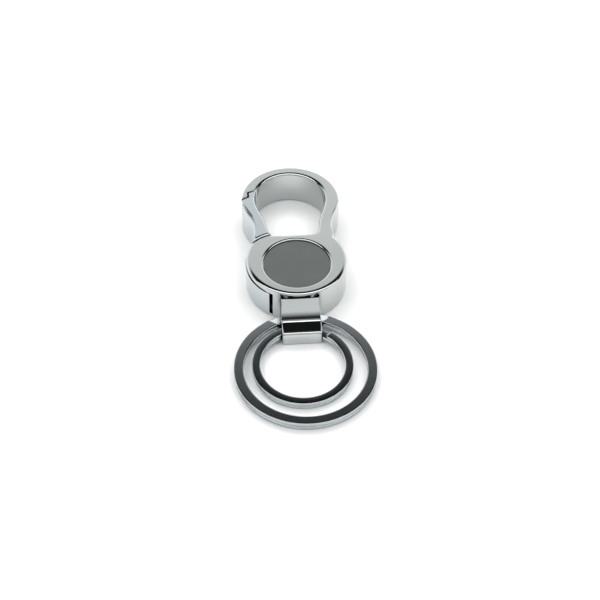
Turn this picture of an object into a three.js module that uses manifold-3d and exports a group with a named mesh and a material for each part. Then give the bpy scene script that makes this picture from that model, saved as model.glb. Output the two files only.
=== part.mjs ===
// Snap-hook key holder: a chromed hook with a sprung rotary gate, a round head with an inlay on each
// side, a hinged saddle and two split key rings. Millimetres, +Z up, lying on its back.
//
// Design frame: the gate's pivot axis is x = 0, y = 0, the hook points to +Y, the underside is z = 0.
// The finished group is moved along Y so that its origin is the middle of the underside.

import * as THREE from 'three';
import { mergeVertices } from 'three/addons/utils/BufferGeometryUtils.js';
import Module from 'manifold-3d';

const wasm = await Module();
wasm.setup();

// ---------------------------------------------------------------- driving dimensions

const THICKNESS = 9.6; // head and hook, along Z
const HOOK_EDGE = 0.35; // bevel along the hook's edges
const HEAD_EDGE = 0.8; // rounding round the head's top
const FOOT_EDGE = 0.35; // bevel round the head's underside

const HEAD_R = 12.83;
const CAVITY_R = 11.13; // inside of the head's wall
const CAVITY_TOP = 8.0; // underside of the top plate
const CAVITY_Y = 7.2; // inside of the straight wall below the hook's opening

const HOOK_Y = 22.57; // centre of the hook's outer arch
const HOOK_R = 12.95;
const BORE_Y = 23.35; // centre of the hook's inner arch
const BORE_R = 9.4;
const FLOOR_Y = 8.88; // straight floor of the hook's opening

const INLAY_Y = -1.6; // the front inlay sits off the head's centre, towards the rings
const INLAY_R = 8.5;
const BACK_INLAY_Y = -1.9;
const BACK_INLAY_R = 7.2;
const INLAY_THICK = 0.4;
const PAD_THICK = 0.1;
const RECESS_DEPTH = 1.0;
const RECESS_GAP = 0.15; // round each inlay

const COVER_THICK = 1.8;
const COVER_GAP = 0.08; // between the back cover and the head's wall
const LIP = 0.95; // strip of head wall below the gate's window

const NOSE_GAP = 0.35; // lap joint between nose and gate
const TOOTH_R = 27.85; // end of the gate's tooth, from the pivot
const SHOULDER_R = 26.25; // the gate's shoulder under the nose's lip, from the pivot
const TOOTH_X = -10.85; // outer side of the tooth
const RIM = { x: -3.86, y: -0.23, r: 9.39 }; // plate's rounded corner beside the gate
const RIM_GAP = 0.6; // between that corner and the gate's upper step
const PANEL_R = 13.05; // outside of the gate's curved panel
const PANEL_INNER_R = 11.3;
const PANEL_END = 234.3; // degrees from +X
const WINDOW_START = 96.5;
const WINDOW_END = 238.2;
const GATE_FOOT = 0.15; // the gate's arm clears the surface the part lies on
const GATE_GAP = 0.15; // above and below the panel, in its window

const HUB = { r: 3.5, low: 4.4, high: 6.7 }; // the lever's web and its hub
const SPRING_HUB = { r: 2.5, low: 2.2 };
const POST_R = 1.5;
const POST_HOLE_R = 1.58;
const POST_LOW = 1.3;
const POST_HIGH = 8.2;
const BOSS = { r: 2.8, low: 6.95 }; // under the top plate, round the post
const WASHER_R = 2.4;

const SPRING = { r: 3.25, wire: 0.45, turns: 4, low: 2.45, pitch: 0.48, leg: 5.6 };
const LEVER_PEG = { angle: 168, radius: 6.4, r: 0.6 }; // the spring's moving leg bears on it
const ANCHOR_PIN = { angle: 62, radius: 6.2, r: 0.5, low: 1.2, high: 4.2 };
const STOP_PIN = { angle: 92.6, radius: 5.6, r: 0.6, low: 3.6, high: 8.2 };

const SCREW = { head: 1.15, shank: 0.6, headDepth: 0.6, length: 3.4, pillar: 1.5 };
const SCREW_PLACES = [
  [5.3, 0.4],
  [3.4, -6.2],
  [-4.4, -5.6],
];

const SLOT_HALF = 4.9; // half the width of the saddle's slot
const STRAP_HALF = 4.72;
const BARREL_HALF = 4.98; // the saddle widens in front of the head
const HINGE_Y = -10.6;
const HINGE_Z = 5.6;
const HINGE_R = 0.55;
const HINGE_HALF = 5.9; // half the length of the hinge pin
const STRAP_TOP = 7.6;
const RIDGE = { y: -17.25, z: 4.66 }; // the barrel's rear edge
const SHOULDER = { y: -17.75, z: 4.34 };
const BARREL_LOW = 4; // at the front, where the top falls away to a rounded nose
const BARREL_NOSE = 0.75;
const BARREL_FRONT = -20.9;
const LOOP_CEILING = 3.42;
const LOOP_FLOOR = 0.7;

const LARGE = { x: 0, y: -30.5, r: 17.5, bore: 15.1, thick: 2.25, tilt: 1.5, end: 77, sweep: 692 };
const SMALL = { x: -0.6, y: -29.3, r: 12.4, bore: 10.4, thick: 2.1, tilt: 2.6, end: 53, sweep: 664 };
const TURN_GAP = 0.12; // between the two turns of a split ring
const RING_GAP = 0.2; // kept between a ring and the saddle

// ---------------------------------------------------------------- materials

const metal = (color, roughness) => new THREE.MeshStandardMaterial({ color, roughness, metalness: 1 });
const chrome = metal(0xb9bdbc, 0.18);
const darkChrome = metal(0x4c5559, 0.14);
const satinGrey = metal(0x6b706e, 0.42);
const steel = metal(0x9a9c9e, 0.35);
const brass = metal(0xb08d4f, 0.35);
const adhesive = new THREE.MeshStandardMaterial({ color: 0xe8e6dd, roughness: 0.9, metalness: 0 });

// ---------------------------------------------------------------- geometry helpers

const rad = THREE.MathUtils.degToRad;
const point = (x, y) => new THREE.Vector2(x, y);
const polar = (r, degrees, cx = 0, cy = 0) =>
  point(cx + r * Math.cos(rad(degrees)), cy + r * Math.sin(rad(degrees)));

// Points along an arc from one angle to another, both ends included.
function arc(cx, cy, r, from, to, steps) {
  const points = [];
  for (let i = 0; i <= steps; i += 1) {
    points.push(polar(r, from + ((to - from) * i) / steps, cx, cy));
  }
  return points;
}

// Points along a smooth curve through the given points, both ends included.
const through = (points, steps) => new THREE.SplineCurve(points).getPoints(steps);

// A closed outline extruded from z0 to z1. A positive bevel stays inside the outline, at both ends.
function prism(outline, z0, z1, bevel = 0) {
  const geometry = new THREE.ExtrudeGeometry(new THREE.Shape(outline), {
    depth: z1 - z0 - 2 * bevel,
    bevelEnabled: bevel > 0,
    bevelThickness: bevel,
    bevelSize: bevel,
    bevelOffset: -bevel,
    bevelSegments: 1,
  });
  geometry.translate(0, 0, z0 + bevel);
  return geometry;
}

// A closed outline at height z that spreads outward by its bevel above and below: it chamfers an edge.
function chamferTool(outline, z, bevel) {
  const skin = 0.02;
  const geometry = new THREE.ExtrudeGeometry(new THREE.Shape(outline), {
    depth: skin,
    bevelEnabled: true,
    bevelThickness: bevel,
    bevelSize: bevel,
    bevelSegments: 1,
  });
  geometry.translate(0, 0, z - skin / 2);
  return geometry;
}

// A cylinder along Z at (x, y), from z0 to z1.
function disc(x, y, r, z0, z1, segments = 48) {
  const geometry = new THREE.CylinderGeometry(r, r, z1 - z0, segments);
  geometry.rotateX(Math.PI / 2);
  geometry.translate(x, y, (z0 + z1) / 2);
  return geometry;
}

// A cylinder along X between x0 and x1.
function rod(x0, x1, y, z, r, segments = 20) {
  const geometry = new THREE.CylinderGeometry(r, r, x1 - x0, segments);
  geometry.rotateZ(Math.PI / 2);
  geometry.translate((x0 + x1) / 2, y, z);
  return geometry;
}

// A profile of (radius, z) points turned about a vertical axis at (x, y).
function turned(profile, x = 0, y = 0, segments = 72) {
  const geometry = new THREE.LatheGeometry(profile, segments);
  geometry.rotateX(Math.PI / 2);
  geometry.translate(x, y, 0);
  return geometry;
}

// A box between two corners.
function box(low, high) {
  const geometry = new THREE.BoxGeometry(...high.map((value, axis) => value - low[axis]));
  geometry.translate(...high.map((value, axis) => (value + low[axis]) / 2));
  return geometry;
}

// A round wire along a curve.
function wire(curve, diameter, steps, sides = 6) {
  const section = new THREE.Shape(arc(0, 0, diameter / 2, 0, 360 - 360 / sides, sides - 1));
  return new THREE.ExtrudeGeometry(section, { steps, extrudePath: curve, bevelEnabled: false });
}

// A closed mesh as a manifold solid, for cutting and joining.
function solid(geometry) {
  const bare = geometry.clone();
  bare.deleteAttribute('normal');
  bare.deleteAttribute('uv');
  const welded = mergeVertices(bare, 1e-5);
  return new wasm.Manifold(
    new wasm.Mesh({
      numProp: 3,
      vertProperties: new Float32Array(welded.attributes.position.array),
      triVerts: new Uint32Array(welded.index.array),
    }),
  );
}

// A manifold solid back as a three.js geometry.
function toGeometry(manifold) {
  const mesh = manifold.getMesh();
  const geometry = new THREE.BufferGeometry();
  geometry.setAttribute('position', new THREE.BufferAttribute(new Float32Array(mesh.vertProperties), 3));
  geometry.setIndex(new THREE.BufferAttribute(new Uint32Array(mesh.triVerts), 1));
  return geometry;
}

const join = (...bodies) => bodies.reduce((sum, body) => sum.add(body));
const cut = (body, ...tools) => tools.reduce((rest, tool) => rest.subtract(tool), body);

// ---------------------------------------------------------------- the assembly

const keyHolder = new THREE.Group();

function place(name, geometry, material, parent = keyHolder) {
  const mesh = new THREE.Mesh(geometry, material);
  mesh.name = name;
  parent.add(mesh);
}

const BELOW = -2; // cutting tools start here and end at ABOVE, clear of the part
const ABOVE = THICKNESS + 2;
const CUT_R = 20; // radius of cutting wedges, clear of the head

// ---------------------------------------------------------------- outlines of head and hook

// Outer side of an arm, from the arch down to the neck and on into the head. side: -1 left, +1 right.
const armOuter = (side) => [
  ...through(
    [
      point(side * 12.87, 21.2),
      point(side * 12.05, 18.6),
      point(side * 10.95, 16.0),
      point(side * 10.25, 13.6),
      point(side * 10.15, 11.2),
      point(side * 10.5, 8.9),
    ],
    10,
  ),
  point(side * 9.6, 6.5),
];

// Inner side of an arm, from the bore down to the floor of the opening.
const armInner = (side) =>
  through(
    [
      point(side * 9.3, 21.8),
      point(side * 8.6, 19.0),
      point(side * 7.6, 16.2),
      point(side * 6.95, 13.2),
      point(side * 6.55, 10.7),
    ],
    8,
  );

const hookOutline = [
  ...arc(0, HOOK_Y, HOOK_R, -6, 186, 48),
  ...armOuter(-1),
  ...armOuter(1).reverse(),
];

const FLOOR_FILLET = 1.9;
const openingOutline = [
  ...arc(0, BORE_Y, BORE_R, -9, 189, 44),
  ...armInner(-1),
  point(-5.5, FLOOR_Y),
  ...arc(4.6, FLOOR_Y + FLOOR_FILLET, FLOOR_FILLET, 270, 348, 6),
  ...armInner(1).reverse(),
];

// Head and hook as one body, before the gate is parted from it.
const headProfile = [
  point(0, 0),
  point(HEAD_R - FOOT_EDGE, 0),
  point(HEAD_R, FOOT_EDGE),
  ...arc(HEAD_R - HEAD_EDGE, THICKNESS - HEAD_EDGE, HEAD_EDGE, 0, 90, 3),
  point(0, THICKNESS),
];
const opening = join(
  solid(prism(openingOutline, BELOW, ABOVE)),
  solid(chamferTool(openingOutline, THICKNESS, HOOK_EDGE)),
  solid(chamferTool(openingOutline, 0, HOOK_EDGE)),
);
const blank = cut(
  join(solid(turned(headProfile)), solid(prism(hookOutline, 0, THICKNESS, HOOK_EDGE))),
  opening,
);

// ---------------------------------------------------------------- the line between frame and gate

// Round the plate's corner beside the gate, from the head's rim to the floor of the opening.
const RIM_SIDE_Y = 5.2;
const rimArc = (grow) => arc(RIM.x, RIM.y, RIM.r + grow, 146, 96, 10);

// The lap joint at the nose, from the outside inward, held off by a gap.
const noseJoint = (gap) => {
  const shoulder = SHOULDER_R + gap;
  const tooth = TOOTH_R + gap;
  const step = TOOTH_X - gap * 0.8;
  return [
    ...arc(0, 0, shoulder, 121, 90 + THREE.MathUtils.radToDeg(Math.asin(-step / shoulder)), 4),
    ...arc(0, 0, tooth, 90 + THREE.MathUtils.radToDeg(Math.asin(-step / tooth)), 106, 4),
  ];
};

// Plan of the arm's space: the frame is cut to it, and the gate's arm fills it less its gaps.
const armZone = (rimGap, noseGap) => [
  point(-16, RIM_SIDE_Y + rimGap),
  ...rimArc(rimGap),
  point(-4.2, 12),
  point(-4.2, 24),
  ...noseJoint(noseGap).reverse(),
  point(-16, 22),
];

// ---------------------------------------------------------------- hook frame

// A wedge of the head between two angles, from z0 to z1, from radius r0 out.
const wedge = (from, to, r0, r1, z0, z1, steps = 24) =>
  solid(prism([...arc(0, 0, r0, from, to, steps), ...arc(0, 0, r1, to, from, steps)], z0, z1));

// The cavity's plan: round, with a straight side under the hook's opening.
function cavityOutline(shrink) {
  const r = CAVITY_R - shrink;
  const y = CAVITY_Y - shrink;
  const corner = THREE.MathUtils.radToDeg(Math.asin(y / r));
  return arc(0, 0, r, 180 - corner, 360 + corner, 56);
}

const SLOT_BACK = -9; // where the saddle's slot opens into the cavity
const CHEEK = { half: 7.0, front: -11.9, back: -9.1 }; // blocks that carry the hinge pin
const POCKET = { front: -12.15, back: -9.9, top: 8.43 }; // room above the saddle as it swings

const pillars = SCREW_PLACES.map(([x, y]) => solid(disc(x, y, SCREW.pillar, COVER_THICK + 0.02, 8.3, 20)));
const screwHoles = SCREW_PLACES.map(([x, y]) => solid(disc(x, y, SCREW.shank + 0.04, BELOW, 5.4, 12)));
const pinHole = (pin, top) => {
  const at = polar(pin.radius, pin.angle);
  return solid(disc(at.x, at.y, pin.r + 0.03, pin.low - 0.05, top, 16));
};

const cheeks = solid(
  box([-CHEEK.half, CHEEK.front, COVER_THICK + 0.1], [CHEEK.half, CHEEK.back, CAVITY_TOP + 0.2]),
).intersect(solid(disc(0, 0, HEAD_R - 0.3, 0, THICKNESS, 72)));

const hollowed = cut(
  blank,
  solid(prism(cavityOutline(0), BELOW, CAVITY_TOP)),
  solid(disc(0, INLAY_Y, INLAY_R + RECESS_GAP, THICKNESS - RECESS_DEPTH, ABOVE, 72)),
);
const hookFrame = cut(
  join(hollowed, cheeks, solid(disc(0, 0, BOSS.r, BOSS.low, 8.3, 28)), ...pillars),
  solid(prism(armZone(0, NOSE_GAP), BELOW, ABOVE)),
  wedge(WINDOW_START, WINDOW_END, CAVITY_Y - 0.1, CUT_R, LIP, CAVITY_TOP),
  solid(box([-SLOT_HALF, -14, BELOW], [SLOT_HALF, SLOT_BACK, CAVITY_TOP])),
  solid(box([-SLOT_HALF, POCKET.front, 7], [SLOT_HALF, POCKET.back, POCKET.top])),
  solid(rod(-HINGE_HALF - 0.05, HINGE_HALF + 0.05, HINGE_Y, HINGE_Z, HINGE_R + 0.03)),
  solid(disc(0, 0, POST_R + 0.03, 5, POST_HIGH + 0.05, 28)),
  pinHole(STOP_PIN, STOP_PIN.high + 0.05),
  ...screwHoles,
);
place('hook_frame', toGeometry(hookFrame), chrome);

// ---------------------------------------------------------------- inlays and their adhesive pads

const recessFloor = THICKNESS - RECESS_DEPTH;
const backFloor = RECESS_DEPTH - 0.1;

// A disc whose visible face, at z1, has a fine chamfer. The back inlay's visible face is its lower one.
function inlay(name, y, r, z0, z1) {
  const edge = 0.08;
  const inward = Math.sign(z0 - z1) * edge;
  const profile = [point(0, z0), point(r, z0), point(r, z1 + inward), point(r - edge, z1), point(0, z1)];
  if (z1 < z0) {
    profile.reverse();
  }
  place(name, turned(profile, 0, y, 64), satinGrey);
}

place(
  'front_inlay_pad',
  disc(0, INLAY_Y, INLAY_R - 0.4, recessFloor + 0.01, recessFloor + PAD_THICK),
  adhesive,
);
inlay(
  'front_inlay',
  INLAY_Y,
  INLAY_R,
  recessFloor + PAD_THICK + 0.01,
  recessFloor + PAD_THICK + 0.01 + INLAY_THICK,
);
place(
  'back_inlay_pad',
  disc(0, BACK_INLAY_Y, BACK_INLAY_R - 0.4, backFloor - PAD_THICK, backFloor - 0.01),
  adhesive,
);
inlay(
  'back_inlay',
  BACK_INLAY_Y,
  BACK_INLAY_R,
  backFloor - PAD_THICK - 0.01,
  backFloor - PAD_THICK - 0.01 - INLAY_THICK,
);

// ---------------------------------------------------------------- back cover and its screws

const screwSinks = SCREW_PLACES.map(([x, y]) =>
  solid(
    turned(
      [
        point(0, backFloor - 1),
        point(SCREW.head + 0.05, backFloor - 1),
        point(SCREW.head + 0.05, backFloor + 0.2),
        point(SCREW.shank + 0.06, backFloor + 0.2 + SCREW.headDepth),
        point(SCREW.shank + 0.06, COVER_THICK + 1),
        point(0, COVER_THICK + 1),
      ],
      x,
      y,
      16,
    ),
  ),
);
const backCover = cut(
  solid(prism(cavityOutline(COVER_GAP), 0, COVER_THICK)),
  solid(disc(0, BACK_INLAY_Y, BACK_INLAY_R + RECESS_GAP, BELOW, backFloor, 64)),
  solid(disc(0, 0, POST_R + 0.03, POST_LOW - 0.05, 3, 28)),
  solid(box([-SLOT_HALF, -14, BELOW], [SLOT_HALF, -10.4, 4])),
  pinHole(ANCHOR_PIN, 4),
  ...screwSinks,
);
place('back_cover', toGeometry(backCover), chrome);

SCREW_PLACES.forEach(([x, y], index) => {
  const bottom = backFloor + 0.03;
  const profile = [
    point(0, bottom),
    point(SCREW.head, bottom),
    point(SCREW.head, bottom + 0.12),
    point(SCREW.shank, bottom + 0.12 + SCREW.headDepth * 0.8),
    point(SCREW.shank, bottom + SCREW.length),
    point(0, bottom + SCREW.length + 0.3),
  ];
  const driveSlots = [0, Math.PI / 2].map((turn) => {
    const bar = box([-SCREW.head * 0.6, -0.14, bottom - 0.5], [SCREW.head * 0.6, 0.14, bottom + 0.25]);
    bar.rotateZ(turn);
    bar.translate(x, y, 0);
    return solid(bar);
  });
  const screw = cut(solid(turned(profile, x, y, 16)), ...driveSlots);
  place(`cover_screw_${index + 1}`, toGeometry(screw), steel);
});

// ---------------------------------------------------------------- gate lever

const gateArm = blank
  .intersect(solid(prism(armZone(RIM_GAP, 0), GATE_FOOT, ABOVE)))
  .subtract(solid(disc(0, 0, 9.4, BELOW, ABOVE, 48)));
const gatePanel = wedge(128, PANEL_END, PANEL_INNER_R, PANEL_R, LIP + GATE_GAP, CAVITY_TOP - GATE_GAP, 28);
const gateRoot = wedge(117, 152, 7.6, 12.4, COVER_THICK + 0.2, CAVITY_TOP - GATE_GAP, 10).intersect(blank);
const gateWeb = wedge(117, 196, 2.2, 11.6, HUB.low, HUB.high, 20);
const peg = polar(LEVER_PEG.radius, LEVER_PEG.angle);
const gateLever = cut(
  join(
    gateArm,
    gatePanel,
    gateRoot,
    gateWeb,
    solid(disc(0, 0, HUB.r, HUB.low, HUB.high, 36)),
    solid(disc(0, 0, SPRING_HUB.r, SPRING_HUB.low, HUB.low + 0.2, 28)),
    solid(disc(peg.x, peg.y, LEVER_PEG.r, SPRING.low - 0.1, HUB.low + 0.2, 14)),
  ),
  solid(disc(0, 0, POST_HOLE_R, 0, THICKNESS, 28)),
);
place('gate_lever', toGeometry(gateLever), chrome);

// ---------------------------------------------------------------- pivot, spring and pins

place('gate_pivot_post', disc(0, 0, POST_R, POST_LOW, POST_HIGH, 28), steel);

function washer(name, z0, z1) {
  const ring = [
    point(POST_HOLE_R, z0),
    point(WASHER_R, z0),
    point(WASHER_R, z1),
    point(POST_HOLE_R, z1),
    point(POST_HOLE_R, z0),
  ];
  place(name, turned(ring, 0, 0, 28), brass);
}
washer('gate_washer_upper', HUB.high + 0.03, BOSS.low - 0.03);
washer('gate_washer_lower', COVER_THICK + 0.03, SPRING_HUB.low - 0.03);

const stopAt = polar(STOP_PIN.radius, STOP_PIN.angle);
place('gate_stop_pin', disc(stopAt.x, stopAt.y, STOP_PIN.r, STOP_PIN.low, STOP_PIN.high, 16), steel);
const anchorAt = polar(ANCHOR_PIN.radius, ANCHOR_PIN.angle);
place(
  'spring_anchor_pin',
  disc(anchorAt.x, anchorAt.y, ANCHOR_PIN.r, ANCHOR_PIN.low, ANCHOR_PIN.high, 16),
  steel,
);

// The torsion spring: a straight leg on the anchor pin, the coil, a straight leg on the lever's peg.
// It is wound so that opening the gate tightens it.
const legSpread = THREE.MathUtils.radToDeg(Math.atan(SPRING.leg / SPRING.r));
const legBearing = (pin) => THREE.MathUtils.radToDeg(Math.asin((pin.r + SPRING.wire / 2 + 0.3) / pin.radius));
const coilStart = ANCHOR_PIN.angle + legBearing(ANCHOR_PIN) - legSpread;
const coilEnd = LEVER_PEG.angle - legBearing(LEVER_PEG) + legSpread;

class SpringLine extends THREE.Curve {
  constructor() {
    super();
    this.coilTurn = 360 * SPRING.turns - (coilEnd - coilStart);
    this.coilLength = rad(this.coilTurn) * SPRING.r;
    this.total = this.coilLength + 2 * SPRING.leg;
  }

  getPoint(t, target = new THREE.Vector3()) {
    const along = t * this.total - SPRING.leg;
    const onCoil = THREE.MathUtils.clamp(along, 0, this.coilLength);
    const beyond = along - onCoil;
    const turned = (onCoil / this.coilLength) * this.coilTurn;
    const angle = rad(coilStart - turned);
    return target.set(
      SPRING.r * Math.cos(angle) + beyond * Math.sin(angle),
      SPRING.r * Math.sin(angle) - beyond * Math.cos(angle),
      SPRING.low + (turned / 360) * SPRING.pitch,
    );
  }
}
place('gate_spring', wire(new SpringLine(), SPRING.wire, 96), steel);

// ---------------------------------------------------------------- saddle and its hinge

// Where the strap meets the barrel. The strap slopes down in a straight ramp and eases off in a
// concave sweep, from one slope to another in degrees.
const CREASE = { y: -15.85, z: 3.8, r: 8, from: 48.7, to: 40.5 };
const SWEEP_Y = CREASE.y - CREASE.r * Math.sin(rad(CREASE.to));
const SWEEP_Z = CREASE.z + CREASE.r * Math.cos(rad(CREASE.to));
const LOOP_BACK = -12.6; // inside of the loop, at the head
const LOOP_FRONT = BARREL_FRONT + 0.75; // inside of the loop, at the front

// Side view of the saddle, (y, z), from the strap's top edge round the outside.
const saddleOutline = [
  point(-12.39, STRAP_TOP),
  ...arc(SWEEP_Y, SWEEP_Z, CREASE.r, CREASE.from - 90, CREASE.to - 90, 3),
  point(RIDGE.y, RIDGE.z),
  point(SHOULDER.y, SHOULDER.z),
  ...arc(BARREL_FRONT + BARREL_NOSE, BARREL_LOW - BARREL_NOSE, BARREL_NOSE, 84, 180, 4),
  point(BARREL_FRONT, 0.3),
  point(BARREL_FRONT + 0.3, 0),
  point(LOOP_BACK + 0.6, 0),
  point(LOOP_BACK + 0.9, 0.3),
  point(LOOP_BACK + 0.9, 3.9),
  ...arc(HINGE_Y, HINGE_Z, 1.4, 250, 390, 8),
  point(-10.1, STRAP_TOP),
];
const loopOutline = [
  point(LOOP_FRONT, LOOP_FLOOR),
  point(LOOP_BACK, LOOP_FLOOR),
  point(LOOP_BACK, 4.7),
  point(-13.35, 4.7),
  point(-14.4, LOOP_CEILING),
  point(LOOP_FRONT, LOOP_CEILING),
];

// Side views are drawn as (y, z) and extruded along X from -half to half.
function sideways(outline, half) {
  const geometry = new THREE.ExtrudeGeometry(new THREE.Shape(outline), {
    depth: 2 * half,
    bevelEnabled: false,
  });
  geometry.translate(0, 0, -half);
  geometry.rotateY(Math.PI / 2);
  geometry.rotateX(Math.PI / 2);
  return geometry;
}

// The saddle widens from the strap to the barrel.
function shapeSaddle(geometry) {
  const at = geometry.attributes.position;
  for (let i = 0; i < at.count; i += 1) {
    const wide = THREE.MathUtils.smoothstep(-at.getY(i), HEAD_R, -CREASE.y);
    at.setX(i, at.getX(i) * THREE.MathUtils.lerp(1, BARREL_HALF / STRAP_HALF, wide));
  }
  return geometry;
}

// The space that a ring sweeps in the saddle, grown by a gap.
function ringGroup(ring) {
  const group = new THREE.Group();
  group.position.set(ring.x, ring.y, ring.r * Math.sin(rad(ring.tilt)));
  group.rotation.x = rad(ring.tilt);
  group.updateMatrixWorld(true);
  return group;
}
function ringSpace(ring) {
  const r0 = ring.bore - RING_GAP;
  const r1 = ring.r + RING_GAP;
  const z1 = ring.thick + RING_GAP;
  const profile = [point(r0, -RING_GAP), point(r1, -RING_GAP), point(r1, z1), point(r0, z1), point(r0, -RING_GAP)];
  return solid(turned(profile, 0, 0, 96).applyMatrix4(ringGroup(ring).matrixWorld));
}

const saddle = cut(
  solid(shapeSaddle(sideways(saddleOutline, STRAP_HALF))),
  solid(sideways(loopOutline, BARREL_HALF + 1)),
  solid(rod(-6, 6, HINGE_Y, HINGE_Z, HINGE_R + 0.08)),
  ringSpace(LARGE),
  ringSpace(SMALL),
);
place('ring_saddle', toGeometry(saddle), chrome);
place('saddle_hinge_pin', rod(-HINGE_HALF, HINGE_HALF, HINGE_Y, HINGE_Z, HINGE_R), steel);

// ---------------------------------------------------------------- split rings

// The middle line of a split ring's flat wire: two turns, one on the other, that change level on the
// way round. It starts on the lower level and ends on the upper one.
class SplitLine extends THREE.Curve {
  constructor(ring) {
    super();
    this.r = (ring.r + ring.bore) / 2;
    this.level = (ring.thick - TURN_GAP) / 4;
    this.top = ring.thick - this.level;
    this.end = ring.end;
    this.sweep = ring.sweep;
  }

  getPoint(t, target = new THREE.Vector3()) {
    const turned = t * this.sweep;
    const angle = rad(this.end - this.sweep + turned);
    const halfRamp = (720 - this.sweep) / 2 - 1;
    const middle = this.sweep / 2;
    const rise = THREE.MathUtils.smoothstep(turned, middle - halfRamp, middle + halfRamp);
    const z = THREE.MathUtils.lerp(this.level, this.top, rise);
    return target.set(this.r * Math.cos(angle), this.r * Math.sin(angle), z);
  }
}

function splitRing(name, ring) {
  const group = ringGroup(ring);
  const width = (ring.r - ring.bore) / 2;
  const height = (ring.thick - TURN_GAP) / 4;
  const section = [point(-height, -width), point(height, -width), point(height, width), point(-height, width)];
  const geometry = new THREE.ExtrudeGeometry(new THREE.Shape(section), {
    steps: 96,
    extrudePath: new SplitLine(ring),
    bevelEnabled: false,
  });
  place(name, geometry, darkChrome, group);
  keyHolder.add(group);
}
splitRing('large_split_ring', LARGE);
splitRing('small_split_ring', SMALL);

// ---------------------------------------------------------------- origin at the middle of the underside

const ringTilt = rad(LARGE.tilt);
const hookEnd = HOOK_Y + HOOK_R;
const ringEnd = LARGE.y - LARGE.r * Math.cos(ringTilt) - LARGE.thick * Math.sin(ringTilt);
keyHolder.position.y = -(hookEnd + ringEnd) / 2;

export default keyHolder;
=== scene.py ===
import math

import bmesh
import bpy
import numpy as np
from mathutils import Matrix, Vector


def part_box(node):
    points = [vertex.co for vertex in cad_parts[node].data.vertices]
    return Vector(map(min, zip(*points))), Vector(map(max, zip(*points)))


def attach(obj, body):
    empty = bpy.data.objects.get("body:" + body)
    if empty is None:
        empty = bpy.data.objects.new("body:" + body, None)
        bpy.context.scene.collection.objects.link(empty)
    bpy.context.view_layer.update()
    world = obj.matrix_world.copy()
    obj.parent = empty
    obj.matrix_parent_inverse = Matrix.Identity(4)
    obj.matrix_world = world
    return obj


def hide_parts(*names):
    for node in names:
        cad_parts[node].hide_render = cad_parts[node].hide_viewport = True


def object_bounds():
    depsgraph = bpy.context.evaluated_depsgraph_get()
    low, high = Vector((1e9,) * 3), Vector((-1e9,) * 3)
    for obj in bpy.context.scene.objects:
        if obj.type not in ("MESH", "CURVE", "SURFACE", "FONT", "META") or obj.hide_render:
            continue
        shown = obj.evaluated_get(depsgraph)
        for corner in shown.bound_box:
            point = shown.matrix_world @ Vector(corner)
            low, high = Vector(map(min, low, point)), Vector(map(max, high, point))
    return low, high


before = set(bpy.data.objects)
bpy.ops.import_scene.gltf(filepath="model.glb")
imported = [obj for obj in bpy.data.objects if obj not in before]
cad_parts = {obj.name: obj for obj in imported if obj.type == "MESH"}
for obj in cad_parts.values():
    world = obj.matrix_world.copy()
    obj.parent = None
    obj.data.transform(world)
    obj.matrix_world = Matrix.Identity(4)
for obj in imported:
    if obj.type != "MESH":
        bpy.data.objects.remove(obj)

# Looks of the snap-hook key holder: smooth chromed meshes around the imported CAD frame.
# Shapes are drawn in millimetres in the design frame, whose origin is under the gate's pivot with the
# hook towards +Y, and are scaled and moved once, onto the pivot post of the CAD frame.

CAD_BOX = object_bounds()

# ---------------------------------------------------------------- places read from the frame

MM = 0.001
post_low, post_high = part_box("gate_pivot_post")
PIVOT_Y = (post_low.y + post_high.y) / 2
TO_ROW = Matrix.Translation((0, PIVOT_Y, 0)) @ Matrix.Scale(MM, 4)


def design_box(node):
    """Lowest and highest corner of a CAD node, in millimetres in the design frame."""
    low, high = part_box(node)
    lift = Vector((0, PIVOT_Y, 0))
    return (low - lift) / MM, (high - lift) / MM


frame_low, frame_high = design_box("hook_frame")
gate_low, _ = design_box("gate_lever")
_, cover_high = design_box("back_cover")
front_low, front_high = design_box("front_inlay")
back_low, back_high = design_box("back_inlay")
saddle_low, saddle_high = design_box("ring_saddle")
pin_low, pin_high = design_box("saddle_hinge_pin")

# ---------------------------------------------------------------- driving dimensions, as in the CAD

THICKNESS = frame_high.z
HEAD_R = -frame_low.y
CAVITY_R = 11.13
CAVITY_TOP = 8.0
CAVITY_Y = 7.2

HOOK_EDGE = 0.36  # heights of the rounded edges
BORE_EDGE = 0.56
HEAD_EDGE = 0.64
FOOT_EDGE = 0.35
JOINT_EDGE = 0.14
RIM_EDGE = 0.45

HOOK_R = 12.95
HOOK_Y = frame_high.y - HOOK_R
BORE_Y = 23.35
BORE_R = 9.4
FLOOR_Y = 8.88
FLOOR_LEFT = -5.5
FLOOR_FILLET = {"x": 4.6, "r": 1.9}

INLAY_Y = (front_low.y + front_high.y) / 2
INLAY_R = (front_high.y - front_low.y) / 2
BACK_INLAY_Y = (back_low.y + back_high.y) / 2
BACK_INLAY_R = (back_high.y - back_low.y) / 2
RECESS_GAP = 0.15
RECESS_DEPTH = 1.0
RECESS_EDGE = 0.38
BACK_RECESS_DEPTH = 0.9
BACK_RECESS_EDGE = 0.12
SEEN_EDGE = 0.08  # rounding of an inlay's face that is seen
HIDDEN_EDGE = 0.03  # and of the one that lies on its pad

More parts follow.
